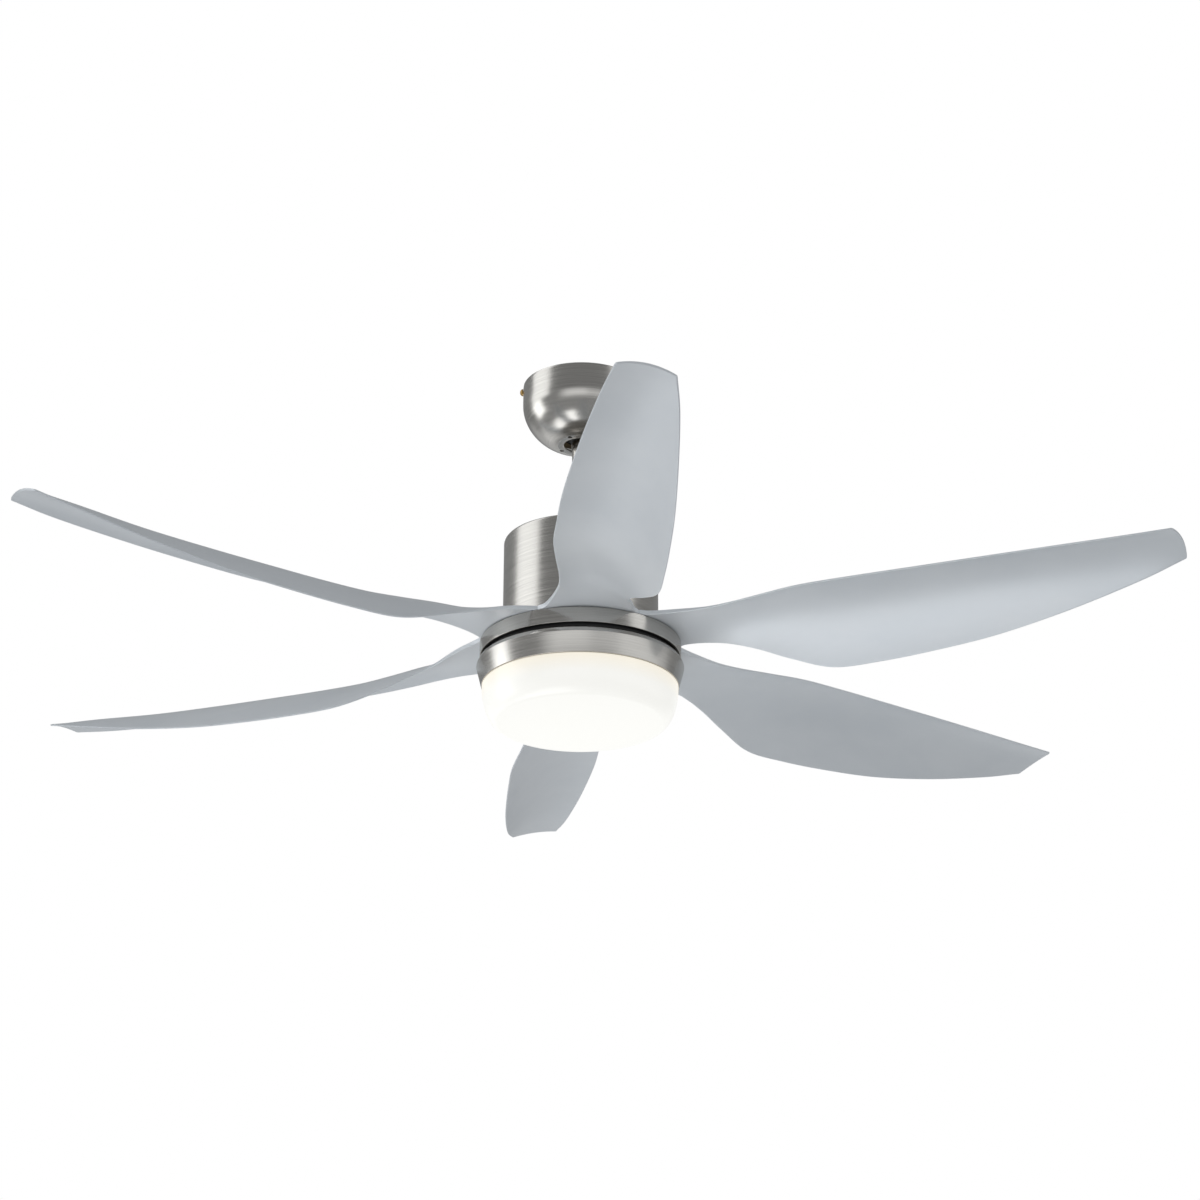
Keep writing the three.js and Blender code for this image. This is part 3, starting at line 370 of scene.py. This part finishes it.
def cutter(direction, radius, depth, centre):
    """A round bar used to cut a hole, along the direction given."""
    bm = bmesh.new()
    bmesh.ops.create_cone(bm, cap_ends=True, segments=32, radius1=radius * MM, radius2=radius * MM,
                          depth=depth * MM)
    bmesh.ops.transform(bm, matrix=pointing(direction, centre), verts=bm.verts)
    mesh = bpy.data.meshes.new("cutter")
    bm.to_mesh(mesh)
    bm.free()
    return mesh


def cut(target, cutters):
    """Cuts the bars out of a piece for good."""
    for mesh in cutters:
        bar = bpy.data.objects.new("cutter", mesh)
        scene.collection.objects.link(bar)
        modifier = target.modifiers.new("cut", "BOOLEAN")
        modifier.object = bar
        modifier.operation = "DIFFERENCE"
        modifier.solver = "EXACT"
        graph = bpy.context.evaluated_depsgraph_get()
        done = bpy.data.meshes.new_from_object(target.evaluated_get(graph))
        target.modifiers.remove(modifier)
        target.data = done
        bpy.data.objects.remove(bar)
    target.data.shade_smooth()
    target.data.set_sharp_from_angle(angle=math.radians(28))


def millimetres(node):
    """The two corners of a CAD node's box."""
    low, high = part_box(node)
    return low / MM, high / MM


# ------------------------------------------------------------------ canopy, rod and housing
low, high = millimetres("canopy")
canopy_r, canopy_top, canopy_bottom = high.x, high.z, low.z
wall_bottom, flat_r, hole_r, sheet = -30.0, 32.7, 25.0, 1.5
shoulder, drop = canopy_r - flat_r, wall_bottom - canopy_bottom
turns = np.linspace(0, math.pi / 2, 40)
outer = [(flat_r + shoulder * math.cos(a) ** (4 / 3), wall_bottom - drop * math.sin(a), 0) for a in turns]
inner = [(flat_r + (shoulder - sheet) * math.cos(a) ** (4 / 3), wall_bottom - (drop - sheet) * math.sin(a), 0)
         for a in turns[::-1]]
canopy = revolved("canopy_shell", rounded(
    [(canopy_r - 0.3, canopy_top, 0.5), (canopy_r, canopy_top - 3.2, 0.4)] + outer
    + [(hole_r + 1.2, canopy_bottom, 0.5), (hole_r, canopy_bottom + 0.8, 0.5),
       (hole_r, canopy_bottom + 2.6, 0.5), (hole_r + 1.2, canopy_bottom + 2.6, 0.4),
       (hole_r + 1.4, canopy_bottom + sheet, 0.3)]
    + inner + [(canopy_r - sheet, canopy_top, 0.4)], 0.4, 3), "canopy", 224)
holes = []
for k in range(4):
    a = math.radians(60 + 90 * k)
    holes.append(cutter((0, 0, 1), 3.0, 20, (32.5 * math.cos(a), 32.5 * math.sin(a), canopy_bottom + 4)))
for side in (-1, 1):
    holes.append(cutter((1, 0, 0), 2.6, 10, (side * canopy_r, 0, -9)))
cut(canopy, holes)


def cross_head_screw(name, node, head_r, head_h, shank_r, length, seat, direction):
    """A domed screw with a cross recess: seat is where its head bears, direction is where its head points."""
    dome = [(head_r * math.sin(a), head_h * math.cos(a)) for a in np.linspace(0.0, math.pi / 2, 9)]
    outline = dome + [(head_r, 0), (shank_r, -0.05)]
    pitch = 0.8
    for turn in range(int(length / pitch)):
        outline += [(shank_r, -0.4 - turn * pitch), (shank_r - 0.25, -0.4 - (turn + 0.5) * pitch)]
    outline += [(0, -length)]
    made = revolved(name, outline, node, 40, 35.0)
    bars = []
    for angle in (0, math.pi / 2):
        bm = bmesh.new()
        bmesh.ops.create_cube(bm, size=1.0)
        size = Matrix.Diagonal((head_r * 1.05 * MM, head_r * 0.24 * MM, head_h * 1.1 * MM, 1))
        place = Matrix.Translation((0, 0, head_h * 1.0 * MM)) @ Matrix.Rotation(angle, 4, "Z") @ size
        bmesh.ops.transform(bm, matrix=place, verts=bm.verts)
        mesh = bpy.data.meshes.new("bar")
        bm.to_mesh(mesh)
        bm.free()
        bars.append(mesh)
    cut(made, bars)
    made.data.transform(pointing(direction, seat))
    made.data.update()
    return made


for node, side in (("canopy_screw_left", -1), ("canopy_screw_right", 1)):
    seat = (side * (canopy_r + 0.3), 0, -9)
    cross_head_screw(node + "_head", node, 5.2, 4.4, 2.0, 13, seat, (side, 0, 0))

low, high = millimetres("downrod")
rod_r = high.x
downrod = revolved("downrod_pipe", rounded([
    (rod_r, high.z), (rod_r, low.z), (rod_r - 2.45, low.z), (rod_r - 2.45, high.z)], 0.35), "downrod", 96)
cut(downrod, [cutter((1, 0, 0), 3.3, 60, (0, 0, -45)), cutter((1, 0, 0), 3.7, 60, (0, 0, -228))])

low, high = millimetres("coupling_cover")
cover_inner = rod_r + 0.6
curve = [(44, 0), (42, 8), (34, 22), (22, 33), (cover_inner, 36)]
smooth = []
for t in np.linspace(0, 1, 28):
    place = [np.array(p, float) for p in curve]
    while len(place) > 1:
        place = [(1 - t) * a + t * b for a, b in zip(place, place[1:])]
    smooth.append(place[0])
revolved("coupling_cap", rounded(
    [(r, low.z + z, 0) for r, z in smooth]
    + [(cover_inner, high.z - 1.4, 0.3)]
    + [(r - 1.3, low.z + max(z - 1.2, 0.0), 0) for r, z in smooth[-3:0:-1]]
    + [(42.6, low.z, 0.3)], 0.3), "coupling_cover", 128)

low, high = millimetres("motor_housing")
housing_r, housing_top, housing_bottom = high.x, high.z, low.z
revolved("motor_shell", rounded([
    (20.5, housing_top, 0.4), (housing_r, housing_top, 4.0), (housing_r, housing_bottom + 4.2, 0.2),
    (housing_r - 0.5, housing_bottom + 3.7, 0.2), (housing_r - 0.5, housing_bottom + 3.0, 0.2),
    (housing_r, housing_bottom + 2.5, 0.2), (housing_r, housing_bottom, 0.6),
    (housing_r - 1.5, housing_bottom, 0.4), (housing_r - 1.5, housing_top - 1.5, 2.8),
    (20.5, housing_top - 1.5, 0.4)], 0.4, 6), "motor_housing", 224)

# ------------------------------------------------------------------ rings, shroud and pan
low, high = millimetres("trim_ring")
ring_r, ring_top, ring_bottom = high.x, high.z, low.z
ring = revolved("trim_ring_skin", rounded([
    (84, ring_top, 0.3), (ring_r, ring_top, 1.0), (ring_r, ring_bottom, 0.6),
    (ring_r - 3.3, ring_bottom, 0.5), (ring_r - 3.3, ring_top - 2.3, 0.8),
    (84, ring_top - 2.3, 0.3)], 0.5), "trim_ring", 256)
screw_holes = []
for a in map(math.radians, BLADE_ANGLES):
    screw_holes.append(cutter((0, 0, 1), 2.8, 20, (94 * math.cos(a), 94 * math.sin(a), ring_top)))
cut(ring, screw_holes)

low, high = millimetres("gap_shroud")
revolved("gap_shroud_skin", rounded([
    (127, low.z, 0.3), (high.x, low.z, 0.4), (high.x, low.z + 7, 0.3), (high.x - 1, low.z + 8, 0.3),
    (high.x - 1, high.z, 0.4), (127, high.z, 0.3)], 0.3), "gap_shroud", 192)

low, high = millimetres("light_pan")
pan_r, pan_bottom, floor_top = high.x, low.z, high.z
lip, ledge = -418.8, floor_top - 1.8
revolved("light_pan_skin", rounded([
    (117.6, ledge, 0.2), (120.1, ledge, 0.1), (120.1, floor_top, 0.2),
    (121.5, floor_top, 0.4), (123.5, lip, 1.0), (136.6, lip, 0.8), (138.6, lip - 1.6, 0),
    (139.7, lip - 3.2, 0), (140.7, lip - 5.2, 0), (141.5, lip - 7.2, 0), (pan_r, lip - 8.3, 0.35),
    (pan_r - 0.25, lip - 9.2, 0.3), (134.9, pan_bottom, 0.5), (133.3, pan_bottom, 0.4), (140, lip - 9.4, 0.4),
    (138.6, lip - 5.6, 0), (135.8, lip - 1.5, 0.6), (122.4, lip - 1.5, 0.6), (120.4, ledge - 1.5, 0.4),
    (117.6, ledge - 1.5, 0.3)], 0.4, 4), "light_pan", 256)


def arc_block(inner_r, outer_r, base, top, centre, span, steps=14):
    """Vertices and faces of a block along an arc, in millimetres and degrees."""
    vertices, faces = [], []
    for k in range(steps + 1):
        a = math.radians(centre - span / 2 + span * k / steps)
        for r, z in ((inner_r, base), (outer_r, base), (outer_r, top), (inner_r, top)):
            vertices.append((r * math.cos(a) * MM, r * math.sin(a) * MM, z * MM))
    for k in range(steps):
        for m in range(4):
            n = (m + 1) % 4
            faces.append([4 * k + m, 4 * k + n, 4 * k + 4 + n, 4 * k + 4 + m])
    faces += [[3, 2, 1, 0], [4 * steps + m for m in range(4)]]
    return vertices, faces


def soften(target, width):
    """Rounds a piece's sharp edges for good."""
    modifier = target.modifiers.new("bevel", "BEVEL")
    modifier.width, modifier.segments, modifier.limit_method = width * MM, 3, "ANGLE"
    modifier.angle_limit = math.radians(35)
    graph = bpy.context.evaluated_depsgraph_get()
    done = bpy.data.meshes.new_from_object(target.evaluated_get(graph))
    target.modifiers.remove(modifier)
    target.data = done
    target.data.shade_smooth()
    target.data.set_sharp_from_angle(angle=math.radians(40))


for k in range(3):
    block = arc_block(131.4, 134.8, -450.2, -448.3, 60 + 120 * k, 14)
    tab = piece(f"pan_tab_{k + 1}", *block, "light_pan", stands_for=False)
    soften(tab, 0.3)

# ------------------------------------------------------------------ shade
low, high = millimetres("glass_shade")
shade_r, shade_bottom, neck_top = high.x, low.z, high.z
shade_top, neck_r, corner, crown, wall = -455.2, 126.7, 22.5, 2.2, 3.0
middle, depth = shade_r - corner, shade_top - shade_bottom - crown
turns = np.linspace(0, math.pi / 2, 40)
outer = [(middle + corner * math.cos(a), shade_top - 1.2 - (depth - 1.2) * math.sin(a), 0) for a in turns]
inner = [(middle + (corner - wall) * math.cos(a), shade_top - wall - (depth - 2 * wall) * math.sin(a), 0)
         for a in turns[::-1]]
bowl = [(middle * math.sqrt(1 - k / 14), shade_bottom + crown * (1 - k / 14), 0) for k in range(1, 15)]
bowl_in = [(r, z + wall, 0) for r, z, _ in bowl[::-1]]
revolved("opal_shade", rounded(
    [(neck_r, neck_top, 0.6), (neck_r, shade_top, 0.6), (shade_r, shade_top, 1.2)]
    + outer + bowl + bowl_in + inner
    + [(neck_r - wall, shade_top - wall, 1.0), (neck_r - wall, neck_top, 0.6)], 0.5, 4),
    "glass_shade", 256, 40.0)

low, high = millimetres("shade_collar")
collar_top, collar_bottom = high.z, low.z
revolved("collar_band", rounded([
    (127.0, collar_bottom), (130.5, collar_bottom), (130.5, collar_top), (127.0, collar_top)], 0.4),
    "shade_collar", 192)
for k in range(3):
    block = arc_block(129.6, 134.3, -448, -445.5, 60 + 120 * k, 12)
    lug = piece(f"collar_lug_{k + 1}", *block, "shade_collar", stands_for=False)
    soften(lug, 0.4)

# ------------------------------------------------------------------ light-emitting diodes on their plate
low, high = millimetres("led_plate")
plate_low = low.z
DIODE_RINGS = ((22, 8), (44, 16), (66, 24), (88, 32), (106, 38))    # radius and count
chips = [(radius, 2 * math.pi * k / count) for radius, count in DIODE_RINGS for k in range(count)]
vertices, faces = [], []
for radius, angle in chips:
    turn = Matrix.Rotation(angle, 3, "Z")
    start = len(vertices)
    for size, z in ((3.0, plate_low - 0.05), (3.0, plate_low - 0.6), (2.2, plate_low - 0.9)):
        for x, y in ((-1, -1), (1, -1), (1, 1), (-1, 1)):
            corner_at = turn @ Vector((radius + x * size / 2, y * size / 2, z))
            vertices.append(corner_at * MM)
    for layer in range(2):
        for m in range(4):
            n = (m + 1) % 4
            a, b = start + 4 * layer, start + 4 * layer + 4
            faces.append([a + m, a + n, b + n, b + m])
    faces.append([start + 8 + m for m in range(4)])
    faces.append([start + m for m in (3, 2, 1, 0)])
piece("diode_chips", vertices, faces, "led_plate", stands_for=False, slot="white_plastic")

# ------------------------------------------------------------------ blades
# x along the blade, then leading edge y and z, trailing edge y and z, camber
STATIONS = np.array([
    [118, -67.8, 0, 67.8, 0, 0],
    [132, -58, 0.2, 60.5, -0.5, 1],
    [165, -50, 1, 53, -6, 4],
    [204, -46, 1, 44.5, -17, 10],
    [243, -49.5, 1.5, 47.5, -30, 16],
    [287, -57, 2, 56.5, -47.5, 20],
    [342, -64.5, 3, 68.5, -64, 22],
    [408, -65.5, 2.5, 69, -66, 22.5],
    [485, -65.5, 1, 67, -63.5, 23.5],
    [573, -61.5, 1, 63, -57, 22],
    [673, -54.5, 2, 55.5, -42, 17.5],
    [772, -44.5, 4, 46, -21.5, 12.5],
    [837, -35, 7.5, 36, -5.5, 4.5],
], float)
ROOT_Z, ROOT_THICK, ROOT_X = -391.2, 6.4, 46.0
TIP_BOW, BOW_START = 4.5, 740.0     # the tip bulges by this much, starting from this x
CORNER_START, TIP_X = STATIONS[-2][0], STATIONS[-1][0]


def station(u):
    """Catmull-Rom blend of the station rows at u from 0 to 1."""
    count = len(STATIONS)
    place = u * (count - 1)
    i = min(int(place), count - 2)
    t = place - i
    rows = [STATIONS[i - 1] if i else 2 * STATIONS[0] - STATIONS[1], STATIONS[i], STATIONS[i + 1],
            STATIONS[i + 2] if i + 2 < count else 2 * STATIONS[-1] - STATIONS[-2]]
    m1, m2 = (rows[2] - rows[0]) / 2, (rows[3] - rows[1]) / 2
    return ((2 * t ** 3 - 3 * t ** 2 + 1) * rows[1] + (t ** 3 - 2 * t ** 2 + t) * m1
            + (-2 * t ** 3 + 3 * t ** 2) * rows[2] + (t ** 3 - t ** 2) * m2)


def thickness(x, c):
    """Thick at the root, thin over the blade, a little thicker mid-chord. c runs 0 to 1 across."""
    fade = np.clip((x - 118) / (250 - 118), 0, 1)
    fade = fade * fade * (3 - 2 * fade)
    blade = 2.2 + 0.8 * (1 - (2 * c - 1) ** 2)
    return ROOT_THICK + (blade - ROOT_THICK) * fade


def grooves(x, c):
    """How deep the moulded flutes by the neck are cut into the upper face."""
    along = np.clip((x - 128) / 30, 0, 1) * np.clip((262 - x) / 70, 0, 1)
    across = sum(math.exp(-((c - middle_c) / 0.045) ** 2) for middle_c in (0.3, 0.5, 0.7))
    return 0.9 * along * across


def blade_section(row, chord):
    """Lower and upper points across the blade, its two edges rounded over."""
    x, ly, lz, ty, tz, camber = row
    width = math.hypot(ty - ly, tz - lz)
    under, over = [], []
    for c in chord:
        y = ly + (ty - ly) * c
        z = lz + (tz - lz) * c + 4 * c * (1 - c) * camber
        slope = np.array([-(tz - lz + 4 * (1 - 2 * c) * camber), ty - ly])
        slope /= np.linalg.norm(slope)
        thick = thickness(x, c)
        radius = min(thick / 2, 1.3)
        inset = radius - min(radius, min(c, 1 - c) * width)
        pull = radius - math.sqrt(max(radius * radius - inset * inset, 0))
        dent = grooves(x, c)
        under.append((x, y + slope[0] * pull, z + slope[1] * pull))
        over.append((x, y + slope[0] * (thick - pull - dent), z + slope[1] * (thick - pull - dent)))
    return under, over


rim = [0.0, 0.0006, 0.0025, 0.0055, 0.01]
chord_steps = np.array(rim + list(np.linspace(0.02, 0.98, 41)) + [1 - c for c in rim[::-1]])
rows = []
half_angle = math.tan(math.pi / 6)
for x in np.linspace(ROOT_X, 116.5, 8):
    half = x * half_angle - 0.35
    rows.append(np.array([x, -half, 0, half, 0, 0]))
for u in np.linspace(0, 1, 12 * 9 + 1):
    rows.append(station(u))
sections = [blade_section(row, chord_steps) for row in rows]
# the tip is bowed outward and its corners are just broken
for under, over in sections:
    for side in (under, over):
        for k, (x, y, z) in enumerate(side):
            if x > BOW_START:
                c = chord_steps[k]
                share = (x - BOW_START) / (TIP_X - BOW_START)
                x += 4 * c * (1 - c) * TIP_BOW * share * share * (3 - 2 * share)
                side[k] = (x, y, z)
            if x > CORNER_START:
                lead, trail = max(0.0, 1 - c / 0.05), max(0.0, 1 - (1 - c) / 0.04)
                back = 3.0 * (1 - math.sqrt(1 - lead ** 2)) + 2.5 * (1 - math.sqrt(1 - trail ** 2))
                share = min(1.0, (x - CORNER_START) / (TIP_X - CORNER_START))
                side[k] = (x - back * share ** 2, y, z)
vertices, faces = [], []
across = len(chord_steps)
for under, over in sections:
    vertices += under + over[::-1]
loop = 2 * across
for r in range(len(sections) - 1):
    for k in range(loop):
        m = (k + 1) % loop
        faces.append([r * loop + k, r * loop + m, (r + 1) * loop + m, (r + 1) * loop + k])
end = (len(sections) - 1) * loop
for k in range(across - 1):
    faces.append([k, loop - 1 - k, loop - 2 - k, k + 1])
    faces.append([end + k, end + k + 1, end + loop - 2 - k, end + loop - 1 - k])
blade_points = np.array(vertices)
for number, angle in enumerate(map(math.radians, BLADE_ANGLES)):
    c, s = math.cos(angle), math.sin(angle)
    x, y, z = blade_points.T
    placed = np.stack([x * c - y * s, x * s + y * c, z + ROOT_Z], 1) * MM
    piece(f"blade_skin_{number + 1}", placed, faces, f"blade_{number + 1}", 38.0)

# ------------------------------------------------------------------ studio
# from azimuth, to azimuth, from elevation, to elevation (degrees), brightness, softness
PANELS = [
    (-111, -66, 2, 58, 1.5, 3.0),         # tall softbox on the left
    (-112, -86, -23, 2, 2.4, 3.0),        # its lower end, narrower and brighter
    (-42, 112, -15, 4, 0.5, 6.0),         # low bright wall in front and to the right
    (-32, 10, -15, 4, 0.3, 5.0),
    (42, 96, -15, 4, 0.25, 5.0),
    (58, 83, 10, 42, 0.95, 3.0),          # narrow softbox on the right
    (-186, -140, -30, 4, 0.3, 6.0),       # bright backdrop behind
    (140, 186, -30, 4, 0.3, 6.0),
    (-135, -20, -84, -49, 2.05, 5.0),     # broad fill from below on the left
    (-158, -114, -46, -22, 0.5, 6.0),     # and from behind it
    (-200, 200, 66, 94, 0.08, 8.0),       # faint bounce off the ceiling
]
floor_mesh = bpy.data.meshes.new("floor")
FLOOR_RADIUS, FLOOR_DROP, FLOOR_SIDES = 150, 2.1, 96
turns = [math.tau * k / FLOOR_SIDES for k in range(FLOOR_SIDES)]
rim = [(FLOOR_RADIUS * math.cos(a), FLOOR_RADIUS * math.sin(a), cad_low.z - FLOOR_DROP) for a in turns]
floor_mesh.from_pydata(rim, [], [list(range(FLOOR_SIDES))])
floor = bpy.data.objects.new("floor", floor_mesh)
scene.collection.objects.link(floor)
floor_finish = Finish("floor_pale", Roughness=0.8, Emission_Color=(1.0, 1.0, 1.0, 1.0),
                      Emission_Strength=0.36)
mottle = floor_finish.noise(floor_finish.place, 1.5)
floor_finish.set("Base Color", floor_finish.blend(mottle, rgb(240, 240, 240), rgb(244, 244, 244)))
floor_mesh.materials.append(floor_finish.material)
floor.visible_glossy = False
floor.visible_diffuse = False

world = bpy.data.worlds.new("studio")
scene.world = world
world.use_nodes = True
tree = world.node_tree
tree.nodes.clear()


def world_node(kind, inputs=None, **settings):
    made = tree.nodes.new(kind)
    for key, value in settings.items():
        setattr(made, key, value)
    for key, value in (inputs or {}).items():
        if isinstance(value, bpy.types.NodeSocket):
            tree.links.new(value, made.inputs[key])
        else:
            made.inputs[key].default_value = value
    return made.outputs[0]


def world_math(operation, a, b=0.0):
    return world_node("ShaderNodeMath", {0: a, 1: b}, operation=operation)


def edge(value, start, end):
    """0 before start, 1 after end, in degrees."""
    inputs = {"Value": value, "From Min": start, "From Max": end, "To Min": 0.0, "To Max": 1.0}
    return world_node("ShaderNodeMapRange", inputs, interpolation_type="SMOOTHSTEP")


direction = tree.nodes.new("ShaderNodeTexCoord").outputs["Generated"]
parts = tree.nodes.new("ShaderNodeSeparateXYZ")
tree.links.new(direction, parts.inputs[0])
to_degrees = 180 / math.pi
# azimuth is measured from the -Y side, where the camera stands: negative is towards -X
to_camera = world_math("MULTIPLY", parts.outputs[1], -1.0)
azimuth = world_math("MULTIPLY", world_math("ARCTAN2", parts.outputs[0], to_camera), to_degrees)
elevation = world_math("MULTIPLY", world_math("ARCSINE", parts.outputs[2]), to_degrees)


def band(value, start, end, soft):
    """1 between start and end, falling softly to 0 outside them."""
    rise, fall = edge(value, start - soft, start + soft), edge(value, end + soft, end - soft)
    return world_math("MULTIPLY", rise, fall)


def panel(az_from, az_to, el_from, el_to, brightness, soft):
    """A soft-edged bright panel of the studio, between two azimuths and two elevations."""
    sides = band(azimuth, az_from, az_to, soft)
    ends = band(elevation, el_from, el_to, soft)
    return world_math("MULTIPLY", world_math("MULTIPLY", sides, ends), brightness)


# the room is dim all round and a little brighter from below
light = world_math("MULTIPLY", edge(elevation, 12.0, -25.0), 0.10)
light = world_math("ADD", light, 0.30)
for setting in PANELS:
    light = world_math("ADD", light, panel(*setting))
room = world_node("ShaderNodeBackground", {0: (0.965, 0.985, 1.0, 1), 1: light})
backdrop = world_node("ShaderNodeBackground", {0: (1, 1, 1, 1), 1: 1.0})
path = tree.nodes.new("ShaderNodeLightPath")
mixed = world_node("ShaderNodeMixShader", {0: path.outputs["Is Camera Ray"], 1: room, 2: backdrop})
tree.links.new(mixed, tree.nodes.new("ShaderNodeOutputWorld").inputs[0])
